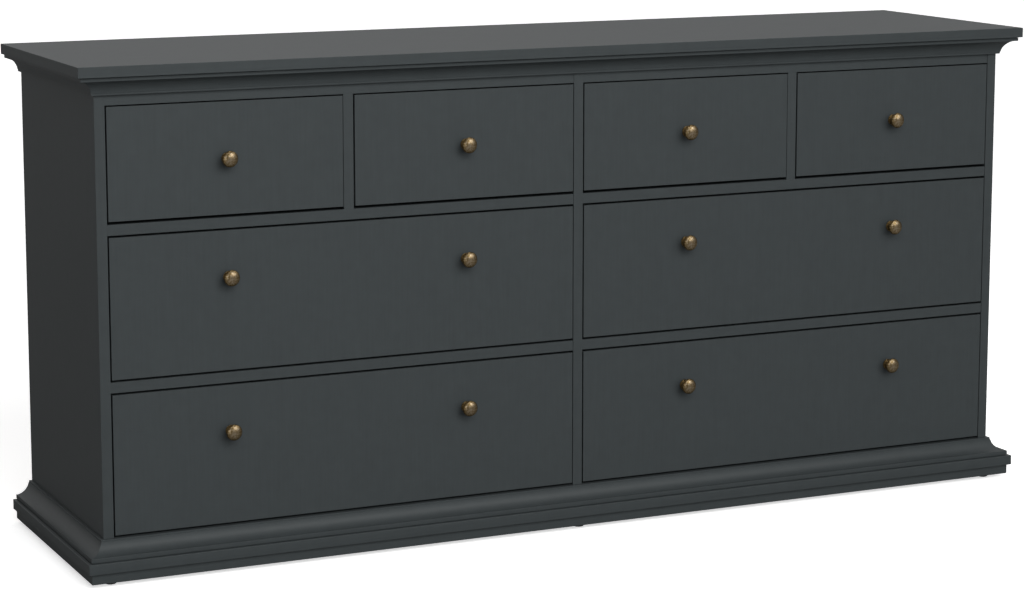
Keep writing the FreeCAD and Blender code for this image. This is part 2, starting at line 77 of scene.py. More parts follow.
class Finish:
    """A material built around one Principled shader."""

    def __init__(self, name):
        self.material = bpy.data.materials.new(name)
        self.material.use_nodes = True
        self.tree = self.material.node_tree
        self.shader = self.tree.nodes["Principled BSDF"]

    def feed(self, node, inputs):
        """Set or link sockets by name."""
        for name, value in inputs.items():
            if isinstance(value, bpy.types.NodeSocket):
                self.tree.links.new(value, node.inputs[name])
            else:
                node.inputs[name].default_value = value

    def node(self, kind, inputs, **settings):
        """A new node with its settings and sockets."""
        made = self.tree.nodes.new("ShaderNode" + kind)
        for name, value in settings.items():
            setattr(made, name, value)
        self.feed(made, inputs)
        return made

    def place(self, stretch=(1, 1, 1)):
        """Coordinates fixed to the piece, scaled along each axis."""
        source = self.tree.nodes.new("ShaderNodeTexCoord")
        mapping = self.node("Mapping", {"Vector": source.outputs["Object"], "Scale": stretch})
        return mapping.outputs["Vector"]

    def axis(self, letter, source="Object"):
        """One coordinate of the piece's own position, or of its own normal."""
        coordinates = self.tree.nodes.new("ShaderNodeTexCoord")
        parts = self.node("SeparateXYZ", {"Vector": coordinates.outputs[source]})
        return parts.outputs[letter]

    def noise(self, place, scale, detail=2.0, roughness=0.5):
        """Fractal noise from 0 to 1."""
        inputs = {"Vector": place, "Scale": scale, "Detail": detail, "Roughness": roughness}
        return self.node("TexNoise", inputs).outputs["Fac"]

    def cells(self, place, scale):
        """A random grey for each Voronoi cell."""
        cells = self.node("TexVoronoi", {"Vector": place, "Scale": scale})
        split = self.node("SeparateColor", {"Color": cells.outputs["Color"]})
        return split.outputs["Red"]

    def spread(self, value, low, high, start=0.0, end=1.0):
        """The value's range from start to end, taken to low and high."""
        inputs = {"Value": value, "From Min": start, "From Max": end, "To Min": low, "To Max": high}
        return self.node("MapRange", inputs).outputs["Result"]

    def combine(self, operation, first, second):
        """Two values combined by one operation."""
        made = self.node("Math", {}, operation=operation)
        self.feed_numbered(made, (first, second))
        return made.outputs["Value"]

    def blend(self, first, first_share, second, second_share):
        """The sum of two values, each times its share."""
        parts = [self.combine("MULTIPLY", first, first_share), self.combine("MULTIPLY", second, second_share)]
        return self.combine("ADD", *parts)

    def feed_numbered(self, node, values):
        """Set or link sockets by number."""
        for number, value in enumerate(values):
            if isinstance(value, bpy.types.NodeSocket):
                self.tree.links.new(value, node.inputs[number])
            else:
                node.inputs[number].default_value = value

    def ramp(self, value, stops):
        """A colour for each value, from (position, colour) stops."""
        made = self.node("ValToRGB", {"Fac": value})
        elements = made.color_ramp.elements
        while len(elements) < len(stops):
            elements.new(0.5)
        for element, (position, colour) in zip(elements, stops):
            element.position = position
            element.color = (*colour, 1.0)
        return made.outputs["Color"]

    def mix(self, factor, first, second):
        """A blend of two colours, each a socket or a plain colour."""
        made = self.node("Mix", {}, data_type="RGBA")
        sockets = {"Factor": made.inputs[0], "A": made.inputs[6], "B": made.inputs[7]}
        for name, value in (("Factor", factor), ("A", first), ("B", second)):
            if isinstance(value, bpy.types.NodeSocket):
                self.tree.links.new(value, sockets[name])
            else:
                sockets[name].default_value = (*value, 1.0) if name != "Factor" else value
        return made.outputs[2]

    def bump(self, height, distance, strength=1.0):
        """A normal raised by height, which is up to distance tall."""
        inputs = {"Height": height, "Distance": distance, "Strength": strength}
        return self.node("Bump", inputs).outputs["Normal"]


def shades(colour, spread):
    """Two shades of a colour, a little darker and a little lighter."""
    return [tuple(part * factor for part in colour) for factor in (1 - spread, 1 + spread)]


# ---------------------------------------------------------------- materials

GRAPHITE = (0.0360, 0.0422, 0.0440)
KNOB_LENGTH = 25.0
# How bright the brass is, by the share of the knob's length from its flange to its tip: the bright dome tip
# is wear and the dark neck patina, while the darker bell and dome edge are painted shade and the bright bands
# on flange and collar are painted highlights.
KNOB_WEAR_AND_SHADE = (
    (0.00, 0.25), (0.06, 0.35), (0.10, 0.05), (0.36, 0.00), (0.41, 0.40), (0.45, 0.05),
    (0.55, 0.10), (0.68, 0.18), (0.74, 0.15), (0.81, 0.50), (1.00, 0.62),
)
PAINT = (0.52, 0.515, 0.49)
CHIPBOARD_STOPS = (
    (0.00, (0.20, 0.115, 0.055)),
    (0.35, (0.40, 0.26, 0.14)),
    (0.70, (0.52, 0.36, 0.21)),
    (1.00, (0.64, 0.48, 0.30)),
)


def graphite_foil(name, stretch, raw_plane=None):
    """Matt dark foil with a very faint grain; behind raw_plane the board's bare chipboard edge shows."""
    finish = Finish(name)
    grain = finish.noise(finish.place(stretch), 1.0, detail=4.0, roughness=0.6)
    mottle = finish.noise(finish.place(), 55.0, detail=3.0)
    pores = finish.noise(finish.place(), 900.0, detail=2.0)
    pattern = finish.blend(grain, 0.6, mottle, 0.4)
    dark, light = shades(GRAPHITE, 0.11)
    colour = finish.ramp(pattern, ((0.25, dark), (0.75, light)))
    roughness = finish.combine("ADD", finish.spread(grain, 0.50, 0.58), finish.spread(pores, -0.03, 0.03))
    height = finish.combine("ADD", pores, finish.combine("MULTIPLY", grain, 0.5))
    if raw_plane is not None:
        behind = finish.combine("GREATER_THAN", finish.axis("Y"), raw_plane)
        facing = finish.combine("GREATER_THAN", finish.axis("Y", "Normal"), 0.8)
        raw = finish.combine("MULTIPLY", behind, facing)
        flakes = finish.cells(finish.place((1.0, 1.0, 1.6)), 420.0)
        fibres = finish.noise(finish.place(), 1500.0, detail=3.0)
        chips = finish.blend(flakes, 0.6, fibres, 0.4)
        colour = finish.mix(raw, colour, finish.ramp(chips, CHIPBOARD_STOPS))
        roughness = finish.combine("ADD", roughness, finish.combine("MULTIPLY", raw, 0.35))
        raised = finish.combine("MULTIPLY", finish.combine("MULTIPLY", raw, chips), 6.0)
        height = finish.combine("ADD", height, raised)
    finish.feed(finish.shader, {
        "Base Color": colour,
        "Roughness": roughness,
        "Specular IOR Level": 0.22,
        "Normal": finish.bump(height, 0.03 * MM, 0.6),
    })
    return finish.material


def drawer_foil():
    """Light grey foil with a fine linen-like print, on the drawer boxes."""
    finish = Finish("drawer_foil")
    warp = finish.noise(finish.place((60, 900, 900)), 1.0, detail=3.0)
    weft = finish.noise(finish.place((900, 60, 900)), 1.0, detail=3.0)
    mottle = finish.noise(finish.place(), 40.0, detail=2.0)
    weave = finish.blend(warp, 0.5, weft, 0.5)
    pattern = finish.blend(weave, 0.7, mottle, 0.3)
    dark, light = shades((0.56, 0.555, 0.53), 0.07)
    finish.feed(finish.shader, {
        "Base Color": finish.ramp(pattern, ((0.3, dark), (0.7, light))),
        "Roughness": finish.spread(weave, 0.42, 0.56),
        "Normal": finish.bump(weave, 0.04 * MM, 0.5),
    })
    return finish.material


def painted_hardboard():
    """The light painted face of the drawer bottoms, with the board's fine pressed texture."""
    finish = Finish("painted_hardboard")
    fibres = finish.noise(finish.place((500, 500, 500)), 1.0, detail=4.0, roughness=0.65)
    mottle = finish.noise(finish.place(), 25.0, detail=3.0)
    pattern = finish.blend(fibres, 0.5, mottle, 0.5)
    dark, light = shades(PAINT, 0.07)
    finish.feed(finish.shader, {
        "Base Color": finish.ramp(pattern, ((0.3, dark), (0.7, light))),
        "Roughness": finish.spread(fibres, 0.45, 0.62),
        "Normal": finish.bump(fibres, 0.05 * MM, 0.6),
    })
    return finish.material


def back_hardboard():
    """Thin hardboard: painted light inside, and bare brown with pressed fibres outside."""
    finish = Finish("back_hardboard")
    fibres = finish.noise(finish.place((320, 320, 900)), 1.0, detail=6.0, roughness=0.7)
    flecks = finish.cells(finish.place((1.0, 1.0, 0.45)), 520.0)
    mottle = finish.noise(finish.place(), 9.0, detail=4.0)
    fine = finish.blend(fibres, 0.65, flecks, 0.35)
    pattern = finish.blend(fine, 0.6, mottle, 0.4)
    dark, light = shades(PAINT, 0.05)
    painted = finish.ramp(pattern, ((0.3, dark), (0.7, light)))
    brown = finish.ramp(pattern, (
        (0.20, (0.135, 0.072, 0.034)),
        (0.50, (0.235, 0.135, 0.066)),
        (0.80, (0.330, 0.205, 0.110)),
    ))
    outside = finish.combine("GREATER_THAN", finish.axis("Y", "Normal"), -0.5)
    finish.feed(finish.shader, {
        "Base Color": finish.mix(outside, painted, brown),
        "Roughness": finish.spread(fibres, 0.60, 0.80),
        "Normal": finish.bump(fine, 0.12 * MM, 0.7),
    })
    return finish.material


def antique_brass():
    """Turned brass, rubbed bright on the dome tip with dark patina in the neck; its darker bell and dome edge
    are painted shade, and faint bright bands on flange and collar are painted highlights.
    """
    finish = Finish("antique_brass")
    blotches = finish.noise(finish.place(), 330.0, detail=4.0, roughness=0.65)
    specks = finish.noise(finish.place(), 1700.0, detail=2.0)
    rings = finish.noise(finish.place((60, 2600, 60)), 1.0, detail=2.0)
    along = finish.spread(finish.axis("Y"), 0.0, 1.0, start=0.0, end=-KNOB_LENGTH * MM)
    # Painted shade darkens the bell and the dome's edge, and painted highlights brighten bands on flange and
    # collar; the bright tip is wear and the dark neck patina.
    rubbed_and_shaded = finish.ramp(along, [(place, (share,) * 3) for place, share in KNOB_WEAR_AND_SHADE])
    clouds = finish.spread(blotches, -0.38, 0.38, 0.25, 0.75)
    pits = finish.spread(specks, -0.10, 0.10, 0.25, 0.75)
    worn_and_shaded = finish.combine("ADD", rubbed_and_shaded, finish.combine("ADD", clouds, pits))
    stops = (
        (0.05, (0.046, 0.029, 0.012)),
        (0.45, (0.225, 0.155, 0.065)),
        (0.95, (0.480, 0.405, 0.310)),
    )
    height = finish.blend(rings, 0.5, blotches, 1.5)
    finish.feed(finish.shader, {
        "Base Color": finish.ramp(worn_and_shaded, stops),
        "Metallic": 1.0,
        "Roughness": finish.spread(worn_and_shaded, 0.55, 0.42),
        "Normal": finish.bump(height, 0.15 * MM, 0.7),
    })
    return finish.material


def powder_coat():
    """White powder-coated steel with a slight orange peel."""
    finish = Finish("powder_coat")
    peel = finish.noise(finish.place(), 650.0, detail=2.0)
    tone = finish.noise(finish.place(), 30.0, detail=2.0)
    dark, light = shades((0.74, 0.74, 0.72), 0.03)
    finish.feed(finish.shader, {
        "Base Color": finish.ramp(tone, ((0.3, dark), (0.7, light))),
        "Roughness": finish.spread(peel, 0.30, 0.42),
        "Normal": finish.bump(peel, 0.03 * MM, 0.5),
    })
    return finish.material


def moulded_plastic(name, colour, roughness):
    """Moulded plastic with a fine spark-eroded texture and faint flow marks."""
    finish = Finish(name)
    texture = finish.noise(finish.place(), 1400.0, detail=2.0)
    flow = finish.noise(finish.place((40, 160, 40)), 1.0, detail=2.0)
    dark, light = shades(colour, 0.06)
    finish.feed(finish.shader, {
        "Base Color": finish.ramp(flow, ((0.3, dark), (0.7, light))),
        "Roughness": finish.spread(texture, roughness - 0.06, roughness + 0.06),
        "Normal": finish.bump(texture, 0.03 * MM, 0.5),
    })
    return finish.material


def zinc_plate():
    """Bright zinc plate, slightly uneven in tone."""
    finish = Finish("zinc_plate")
    cloud = finish.noise(finish.place(), 420.0, detail=3.0)
    fine = finish.noise(finish.place(), 2400.0, detail=2.0)
    dark, light = shades((0.55, 0.56, 0.58), 0.12)
    finish.feed(finish.shader, {
        "Base Color": finish.ramp(cloud, ((0.3, dark), (0.7, light))),
        "Metallic": 1.0,
        "Roughness": finish.spread(cloud, 0.26, 0.42),
        "Normal": finish.bump(fine, 0.01 * MM, 0.5),
    })
    return finish.material


def stage_floor():
    """A plain pale floor, whose bounced light is held down."""
    finish = Finish("stage_floor")
    tone = finish.noise(finish.place(), 0.6, detail=2.0)
    dark, light = shades((0.93, 0.93, 0.93), 0.005)
    finish.feed(finish.shader, {
        "Base Color": finish.ramp(tone, ((0.3, dark), (0.7, light))),
        "Roughness": 0.9,
        "Specular IOR Level": 0.0,
        "Emission Color": (1.0, 1.0, 1.0, 1.0),
        "Emission Strength": 0.60,
    })
    bounce = finish.node("BsdfDiffuse", {"Color": (0.38, 0.38, 0.38, 1.0)})
    surface = camera_choice(finish.tree, bounce.outputs[0], finish.shader.outputs[0])
    finish.tree.links.new(surface, finish.tree.nodes["Material Output"].inputs["Surface"])
    return finish.material


# ---------------------------------------------------------------- mesh building

def loft(bm, rings):
    """A closed solid through rings with the same number of points, capped at both ends."""
    loops = [[bm.verts.new(point) for point in ring] for ring in rings]
    count = len(loops[0])
    for first, second in zip(loops, loops[1:]):
        for here in range(count):
            after = (here + 1) % count
            bm.faces.new((first[here], first[after], second[after], second[here]))
    bm.faces.new(loops[0])
    bm.faces.new(loops[-1])


def lathe(bm, profile, to_place, segments):
    """A turned solid from (radius, height) points in millimetres, about the Z of to_place."""
    rings = []
    for radius, height in profile:
        ring = []
        for step in range(segments):
            angle = math.tau * step / segments
            point = Vector((radius * math.cos(angle), radius * math.sin(angle), height)) * MM
            ring.append(to_place @ point)
        rings.append(ring)
    loft(bm, rings)


def eased(points, steps=4):
    """The section's points, with a corner given as (across, up, radius) rounded by that radius."""
    result = []
    count = len(points)
    for number, point in enumerate(points):
        corner = Vector(point[:2])
        radius = point[2] if len(point) > 2 else 0.0
        if radius == 0.0:
            result.append(corner)
            continue
        before = (Vector(points[number - 1][:2]) - corner).normalized()
        after = (Vector(points[(number + 1) % count][:2]) - corner).normalized()
        reach = radius / math.tan(before.angle(after) / 2)
        start = corner + before * reach
        end = corner + after * reach
        for step in range(steps + 1):
            share = step / steps
            result.append(start * (1 - share) ** 2 + corner * 2 * share * (1 - share) + end * share ** 2)
    return result


def prism(bm, section, to_space, low, high):
    """A straight bar: to_space takes a section point and a distance along the bar to a place."""
    loft(bm, [[to_space(point, along) for point in section] for along in (low, high)])


def slab(bm, low, high):
    """A plain block between two corners."""
    corners = [(low.x, low.y), (high.x, low.y), (high.x, high.y), (low.x, high.y)]
    loft(bm, [[(x, y, z) for x, y in corners] for z in (low.z, high.z)])


def facing(direction, centre):
    """The placement whose Z points in a direction."""
    turn = Vector(direction).to_track_quat("Z", "Y").to_matrix().to_4x4()
    return Matrix.Translation(centre) @ turn


def cross_head(bm, to_place, radius, low, top, arm, width, recess):
    """A round head or cam from low to top, with a crossed recess in its face."""
    segments = 28
    ease = min(0.4, radius * 0.15)
    rings = []
    for ring_radius, height in ((radius, low), (radius, top - ease), (radius - ease, top)):
        ring = []
        for step in range(segments):
            angle = math.tau * step / segments
            point = Vector((ring_radius * math.cos(angle), ring_radius * math.sin(angle), height)) * MM
            ring.append(bm.verts.new(to_place @ point))
        rings.append(ring)
    half = width / 2
    outline = []
    for quarter in range(4):
        turn = Matrix.Rotation(math.tau * quarter / 4, 2)
        outline += [turn @ Vector(point) for point in ((half, half), (half, arm), (-half, arm))]
    for height in (top, top - recess):
        ring = [bm.verts.new(to_place @ (Vector((x, y, height)) * MM)) for x, y in outline]
        rings.append(ring)
    body, shoulder, rim, mouth, floor = rings
    for first, second in ((body, shoulder), (shoulder, rim), (mouth, floor)):
        count = len(first)
        for here in range(count):
            after = (here + 1) % count
            bm.faces.new((first[here], first[after], second[after], second[here]))
    bm.faces.new(body)
    bm.faces.new(floor)
    edges = []
    for ring in (rim, mouth):
        count = len(ring)
        for here in range(count):
            pair = (ring[here], ring[(here + 1) % count])
            edges.append(bm.edges.get(pair) or bm.edges.new(pair))
    bmesh.ops.triangle_fill(bm, use_beauty=True, edges=edges)


def add_bevel(target, width):
    """Rounded edges that catch the light."""
    bevel = target.modifiers.new("edges", "BEVEL")
    bevel.width = width * MM
    bevel.segments = 2
    bevel.limit_method = "ANGLE"
    bevel.angle_limit = BEVEL_ANGLE
    bevel.harden_normals = True


def make_piece(name, bm, material, body, nodes=(), bevel=0.0, origin=(0, 0, 0)):
    """A piece of the object from a mesh, riding on its body."""
    bmesh.ops.recalc_face_normals(bm, faces=bm.faces[:])
    mesh = bpy.data.meshes.new(name)
    bm.to_mesh(mesh)
    bm.free()
    mesh.shade_smooth()
    mesh.materials.append(material)
    made = bpy.data.objects.new(name, mesh)
    made.location = origin
    bpy.context.scene.collection.objects.link(made)
    if bevel:
        add_bevel(made, bevel)
    else:
        mesh.set_sharp_from_angle(angle=SHARP_ANGLE)
    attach(made, body)
    if nodes:
        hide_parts(*nodes)
    return made


def dress_node(name, material, bevel):
    """A CAD node whose shape is right: it gets its material and finely rounded edges."""
    node = frame["nodes"][name]
    if not node.material_slots:
        node.data.materials.append(material)
    for entry in node.material_slots:
        entry.material = material
    weld = node.modifiers.new("join", "WELD")
    weld.merge_threshold = WELD_DISTANCE
    flat = node.modifiers.new("flat", "DECIMATE")
    flat.decimate_type = "DISSOLVE"
    flat.angle_limit = FLAT_ANGLE
    add_bevel(node, bevel)


# ---------------------------------------------------------------- carcass

GRAIN_UP = (260, 260, 10)
GRAIN_ACROSS = (10, 260, 260)
GRAIN_DEEP = (260, 10, 260)

side_low, side_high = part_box("side_panel_right")
carcass_side = side_high.x
inner_side = side_low.x
front_plane = side_low.y
back_plane = side_high.y
raw_plane = back_plane - 1.5 * MM

upright_foil = graphite_foil("graphite_upright", GRAIN_UP, raw_plane)
front_foil = graphite_foil("graphite_front", GRAIN_UP)
lengthwise_foil = graphite_foil("graphite_lengthwise", GRAIN_ACROSS, raw_plane)
depthwise_foil = graphite_foil("graphite_depthwise", GRAIN_DEEP, raw_plane)
box_foil = drawer_foil()
bottom_paint = painted_hardboard()
back_board = back_hardboard()
brass = antique_brass()
coated_steel = powder_coat()
nylon = moulded_plastic("white_nylon", (0.76, 0.76, 0.73), 0.42)
black_plastic = moulded_plastic("black_plastic", (0.018, 0.018, 0.018), 0.5)
zinc = zinc_plate()


def dress_boards():
    """The plain boards of the carcass."""
    dress_node("top_board", lengthwise_foil, 0.6)
    for name in ("side_panel_left", "side_panel_right", "centre_panel", "divider_left", "divider_right"):
        dress_node(name, upright_foil, 0.3)
    for name in ("shelves", "mid_rails", "top_rails", "bottom_board"):
        dress_node(name, lengthwise_foil, 0.25)


COVE_HEIGHT = 32
LIP_FOOT = 28.5
LIP_REACH = 5.5
LIP_STEP = 0.8
STEP_REACH = 29.5
LEDGE = 1.0
QUIRK_WIDTH = 0.2
QUIRK_DEPTH = 0.8
FOOT_REACH = 27.7
FOOT_HEIGHT = 1.1
BASE_STEP = 8.5
CORNICE_STEP = 7.0
COURSE_DEPTH = 30.5


def cove_points(step):
    """The moulding's section as (outwards, up): undercut foot, step, quirk, hollow and lip."""
    start = Vector((STEP_REACH - LEDGE - QUIRK_WIDTH, step - QUIRK_DEPTH))
    end = Vector((LIP_REACH + LIP_STEP, LIP_FOOT))
    radius = 26.2
    steps = 14
    half = (end - start) / 2
    across = Vector((half.y, -half.x)).normalized()
    centre = start + half + across * math.sqrt(radius ** 2 - half.length_squared)
    first = math.atan2(*(start - centre).yx) % math.tau
    last = math.atan2(*(end - centre).yx) % math.tau
    hollow = []
    for number in range(steps + 1):
        angle = first + (last - first) * number / steps
        hollow.append(tuple(centre + Vector((math.cos(angle), math.sin(angle))) * radius))
    foot = [(0, 0), (FOOT_REACH, 0), (FOOT_REACH, FOOT_HEIGHT), (STEP_REACH, FOOT_HEIGHT, 0.3)]
    tread = [(STEP_REACH, step, 0.3), (STEP_REACH - LEDGE, step, 0.2)]
    lip = [(LIP_REACH, LIP_FOOT), (LIP_REACH, COVE_HEIGHT, 0.4), (0, COVE_HEIGHT)]
    return foot + tread + hollow + lip


def flat_points(inner, outer, height):
    """A flat strip's section, with eased outer edges."""
    return [(inner, 0), (outer, 0, 1.0), (outer, height, 1.0), (inner, height)]


def course_strips(section, base, upwards, name, nodes):
    """A front strip with mitred ends, and side strips mitred in front and square at the back."""
    points = [(out * MM, base + up * MM * upwards) for out, up in eased(section)]
    bm = bmesh.new()
    loft(bm, [
        [(hand * (carcass_side + out), front_plane - out, z) for out, z in points] for hand in (-1, 1)])
    make_piece(f"{name}_front", bm, lengthwise_foil, CARCASS, nodes, bevel=0.2)
    bm = bmesh.new()
    for hand in (-1, 1):
        loft(bm, [
            [(hand * (carcass_side + out), front_plane - out, z) for out, z in points],
            [(hand * (carcass_side + out), back_plane, z) for out, z in points],
        ])
    make_piece(f"{name}_sides", bm, depthwise_foil, CARCASS, nodes, bevel=0.2)


def rear_board(name, node):
    """The rear board of a base course, between its side strips."""
    low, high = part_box(node)
    width = 60 * MM
    reach = carcass_side - COURSE_DEPTH * MM
    bm = bmesh.new()
    slab(bm, Vector((-reach, high.y - width, low.z)), Vector((reach, high.y, high.z)))
    make_piece(name, bm, lengthwise_foil, CARCASS, bevel=0.4)


def build_courses():
    """Plinth, band and moulding at the base, and the cornice under the top board."""
    for name, node in (("plinth", "plinth_boards"), ("band", "base_band")):
        low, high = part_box(node)
        outer = (high.x - carcass_side) / MM
        section = flat_points(-COURSE_DEPTH, outer, (high.z - low.z) / MM)
        course_strips(section, low.z, 1, name, [node])
        rear_board(f"{name}_rear", node)
    base_low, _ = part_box("base_moulding")
    base_cove = cove_points(BASE_STEP)
    course_strips(base_cove, base_low.z, 1, "base_cove", ["base_moulding"])
    _, cornice_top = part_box("cornice_front")
    nodes = ["cornice_front", "cornice_sides"]
    course_strips(cove_points(CORNICE_STEP), cornice_top.z, -1, "cornice", nodes)


def build_back():
    """Two hardboard sheets, nailed to the boards behind which they lie."""
    low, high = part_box("back_panels")
    nails = bmesh.new()
    nail = [(1.0, -4.0), (1.0, 0.0), (2.3, 0.0), (2.3, 0.35), (1.9, 0.6), (0.4, 0.72)]
    heights = [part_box(node) for node in ("bottom_board", "shelves", "top_rails")]
    levels = [(bottom.z + top.z) / 2 for bottom, top in heights]
    per_edge = 7
    inset = 4.5 * MM
    for hand, side in ((-1, "left"), (1, "right")):
        near = 0.4 * MM
        far = high.x
        ends = sorted((hand * near, hand * far))
        bm = bmesh.new()
        slab(bm, Vector((ends[0], low.y, low.z)), Vector((ends[1], high.y, high.z)))
        make_piece(f"back_sheet_{side}", bm, back_board, CARCASS, ["back_panels"], bevel=0.3)
        spots = []
        for step in range(per_edge):
            share = (step + 0.5) / per_edge
            z = low.z + (high.z - low.z) * share
            spots += [(hand * inset, z), (hand * (far - inset), z)]
            x = hand * (near + (far - near) * share)
            spots += [(x, level) for level in levels]
        for x, z in spots:
            lathe(nails, nail, facing((0, 1, 0), (x, high.y, z)), 12)
    make_piece("back_nails", nails, zinc, CARCASS)


def cam_places():
    """Where the boards' cams sit, as (centre of the face, direction out of the board)."""
    from_end = 34 * MM
    panel_rows = (-69.5 * MM, 101 * MM)
    front_row = -159.5 * MM
    rear_row = 191 * MM
    _, panel_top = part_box("centre_panel")
    board_low, board_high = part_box("bottom_board")
    upper = panel_top.z - from_end
    half = panel_top.x
    places = []
    for y in panel_rows:
        places += [((hand * inner_side, y, upper), (-hand, 0, 0)) for hand in (-1, 1)]
        places += [((-half, y, z), (-1, 0, 0)) for z in (board_high.z + from_end, upper)]
        places += [((hand * (inner_side - from_end), y, board_low.z), (0, 0, -1)) for hand in (-1, 1)]
    rows = {"shelves": (front_row, rear_row), "mid_rails": (front_row,), "top_rails": (front_row, rear_row)}
    for node, lines in rows.items():
        low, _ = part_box(node)
        for x in (inner_side - from_end, half + from_end):
            places += [((hand * x, y, low.z), (0, 0, -1)) for hand in (-1, 1) for y in lines]
    return places


def build_cams():
    """The zinc cams that lock the boards together."""
    bm = bmesh.new()
    for centre, outwards in cam_places():
        place = facing(outwards, centre)
        cross_head(bm, place, radius=7.5, low=-12.5, top=0.0, arm=5.2, width=1.9, recess=3.5)
    make_piece("cams", bm, zinc, CARCASS, ["cam_fittings"])


def build_floor_glides():
    """Round black glides under the plinth."""
    low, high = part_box("floor_glides")
    radius = 10.0
    height = (high.z - low.z) / MM
    profile = [(8.2, 0.0), (9.1, 0.3), (9.7, 0.9), (10.0, 1.9), (10.0, height)]
    bm = bmesh.new()
    side = high.x - radius * MM
    for x in (-side, 0.0, side):
        for y in (low.y + radius * MM, high.y - radius * MM):
            lathe(bm, profile, Matrix.Translation((x, y, low.z)), 40)
    make_piece("glides_floor", bm, black_plastic, CARCASS, ["floor_glides"])


# ---------------------------------------------------------------- drawers

KNOB_PROFILE = [
    (9.30, 0.00), (9.70, 0.25), (9.80, 0.70), (9.80, 1.30), (9.55, 1.75), (9.00, 2.00), (8.50, 1.95),
    (8.20, 1.85), (7.95, 2.05), (7.60, 2.45), (7.00, 2.80), (6.35, 3.00), (5.90, 3.25), (5.50, 3.80),
    (5.15, 4.80), (5.00, 6.00), (5.02, 7.20), (5.20, 8.30), (5.50, 9.00), (6.05, 9.35), (6.50, 9.80),
    (6.62, 10.35), (6.40, 10.90), (6.55, 11.30), (7.60, 11.85), (9.20, 12.75), (10.80, 13.80),
    (12.20, 14.95), (13.05, 15.75), (13.55, 16.30), (13.78, 16.95), (13.80, 17.55), (13.62, 18.15),
    (13.20, 18.55), (12.75, 18.65), (12.50, 18.80), (12.42, 19.25),
]
KNOB_SEGMENTS = 64

RAIL_SECTION = [
    (24.5, -1.2, 0.3), (11.3, -1.2, 1.6), (11.3, 18.8, 0.4), (4.2, 18.8, 0.4), (4.2, 15.0, 0.3),
    (3.0, 15.0, 0.3), (3.0, 20.0, 1.6), (12.5, 20.0, 0.3), (12.5, 0.0, 0.4), (24.5, 0.0, 0.3),
]
CHANNEL_SECTION = [
    (0.0, -1.0, 1.6), (9.0, -1.0, 0.3), (9.0, 0.2, 0.3), (1.2, 0.2, 0.4), (1.2, 24.8, 0.4),
    (9.0, 24.8, 0.3), (9.0, 26.0, 0.3), (0.0, 26.0, 1.6),
]
GLIDE_SECTION = [
    (1.2, 0.2), (10.5, 0.2), (10.5, 18.5, 1.0), (4.5, 18.5, 1.0), (4.5, 14.5, 0.5), (1.2, 14.5, 0.5),
]
HEEL_SECTION = [(5.3, 0.5, 1.0), (11.3, 0.5), (11.3, 18.8), (5.3, 18.8, 1.0)]
STOP_SECTION = [(1.2, 0.2), (9.0, 0.2), (9.0, 6.0, 1.0), (1.2, 6.0, 1.0)]
RAIL_SCREWS = (45, 190, 335)


def knob_profile():
    """The whole profile, with the dome's arc up to its tip."""
    dome_radius = 17.4
    dome_centre = 7.6
    dome_edge = 12.4
    steps = 12
    widest = math.asin(dome_edge / dome_radius)
    dome = []
    for step in range(steps + 1):
        angle = widest * (1 - step / (steps + 0.15))
        dome.append((dome_radius * math.sin(angle), dome_centre + dome_radius * math.cos(angle)))
    return KNOB_PROFILE + dome


def knob_centres(prefix):
    """Where the drawer's knobs stand on its front."""
    node = f"{prefix}_knob" if prefix.startswith("top") else f"{prefix}_knobs"
    low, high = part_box(node)
    radius = (high.z - low.z) / 2
    columns = [(low.x + high.x) / 2] if prefix.startswith("top") else [low.x + radius, high.x - radius]
    return node, [Vector((x, high.y, (low.z + high.z) / 2)) for x in columns]


def build_knobs(prefix, body):
    """Turned brass knobs, and the screw heads that hold them from inside."""
    node, centres = knob_centres(prefix)
    _, front_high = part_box(f"{prefix}_front")
    screws = bmesh.new()
    for number, centre in enumerate(centres, 1):
        bm = bmesh.new()
        lathe(bm, knob_profile(), facing((0, -1, 0), (0, 0, 0)), KNOB_SEGMENTS)
        name = f"{prefix}_knob_turning_{number}"
        make_piece(name, bm, brass, body, [node], origin=centre)
        inside = facing((0, 1, 0), (centre.x, front_high.y, centre.z))
        cross_head(screws, inside, radius=4.2, low=-1.0, top=2.2, arm=2.6, width=1.0, recess=1.4)
    make_piece(f"{prefix}_knob_screws", screws, zinc, body)


def build_box(prefix, body):
    """Grooved sides with rounded top edges, and the back that stands on the bottom."""
    low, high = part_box(f"{prefix}_box")
    height = (high.z - low.z) / MM
    wall_thickness = 12
    groove_low = 8
    groove_high = 11.2
    groove_floor = 5.8
    top_radius = 2.5
    side = [
        (0, 0, 0.5), (wall_thickness, 0, 0.5),
        (wall_thickness, groove_low), (groove_floor, groove_low),
        (groove_floor, groove_high), (wall_thickness, groove_high),
        (wall_thickness, height, top_radius), (0, height, top_radius),
    ]
    for hand, wall, label in ((1, low.x, "left"), (-1, high.x, "right")):
        points = [(wall + hand * across * MM, low.z + up * MM) for across, up in eased(side)]
        bm = bmesh.new()
        prism(bm, points, lambda point, along: (point[0], along, point[1]), low.y, high.y)
        make_piece(f"{prefix}_side_{label}", bm, box_foil, body, [f"{prefix}_box"], bevel=0.3)
    back_foot = 11
    back = [
        (-wall_thickness, back_foot, 0.3), (0, back_foot, 0.3),
        (0, height, top_radius), (-wall_thickness, height, top_radius),
    ]
    points = [(high.y + across * MM, low.z + up * MM) for across, up in eased(back)]
    bm = bmesh.new()
    inner = wall_thickness * MM
    prism(bm, points, lambda point, along: (along, *point), low.x + inner, high.x - inner)
    make_piece(f"{prefix}_box_back", bm, box_foil, body, [f"{prefix}_box"], bevel=0.3)


def bars(section, walls, level, low, high):
    """Mirrored bars along Y, one against each wall of an opening."""
    bm = bmesh.new()
    for hand, wall in walls:
        points = [(wall + hand * across * MM, level + up * MM) for across, up in eased(section, 3)]
        prism(bm, points, lambda point, along: (point[0], along, point[1]), low, high)
    return bm


